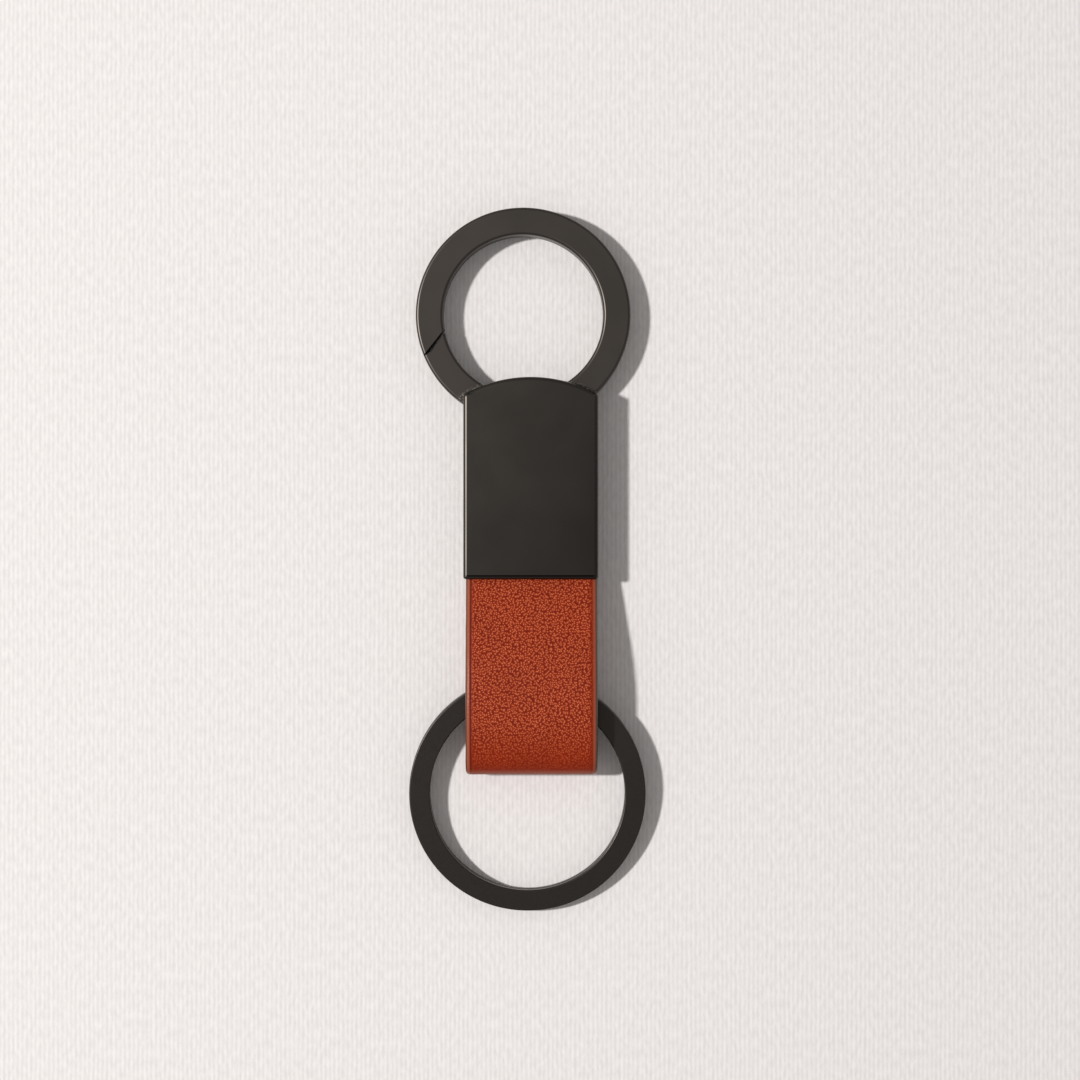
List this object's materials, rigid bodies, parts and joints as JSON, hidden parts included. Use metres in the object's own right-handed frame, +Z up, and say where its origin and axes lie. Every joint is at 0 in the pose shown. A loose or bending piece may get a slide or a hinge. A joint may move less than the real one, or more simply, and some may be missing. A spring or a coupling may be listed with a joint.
{
  "type": "key fob with spring gate hook and split ring",
  "caption": "Flat key fob: spring-gate hook ring on a metal housing that clamps a folded leather strap, with a flat split ring in the strap's loop.",
  "frame": {"origin": "on the resting plane under the middle of the whole fob, on the housing's centre line", "axes": "+Y along the fob towards the hook ring, +Z up out of the housing's face, +X across"},
  "size_m": [0.03, 0.0892, 0.0069],
  "materials": {
    "black_zinc": "satin black plating on die-cast zinc",
    "black_steel": "satin black plating on flat spring steel",
    "plain_steel": "drawn steel wire and pin",
    "black_screw": "black oxide",
    "leather": "rust brown pebbled leather with painted edges"
  },
  "bodies": {
    "housing": {"hook_frame": "black_zinc", "front_cover": "black_zinc", "gate_pin": "plain_steel", "gate_spring": "plain_steel", "strap_tail_upper": "leather", "strap_tail_lower": "leather", "strap_screw_left": "black_screw", "strap_screw_right": "black_screw", "tang_screw": "black_screw"},
    "gate": {"gate": "black_zinc"},
    "strap": {"strap_loop": "leather"},
    "key_ring": {"split_ring": "black_steel"}
  },
  "joints": [
    {"name": "gate_hinge", "type": "hinge", "parent": "housing", "child": "gate", "pos_m": [-0.0052, 0.0192, 0.0018], "axis": [0, 0, -1], "range_deg": [0, 35], "stiffness_Nm_per_rad": 0.01, "springref_deg": -57.3, "deforming": ["gate_spring"]},
    {"name": "strap_bend", "type": "hinge", "parent": "housing", "child": "strap", "pos_m": [0, -0.00244, 0.00275], "axis": [-1, 0, 0], "range_deg": [-15, 15], "stiffness_Nm_per_rad": 0.05},
    {"name": "ring_swing", "type": "hinge", "parent": "strap", "child": "key_ring", "pos_m": [0, -0.0162, 0.00306], "axis": [-1, 0, 0], "range_deg": [-1, 19]}
  ]
}
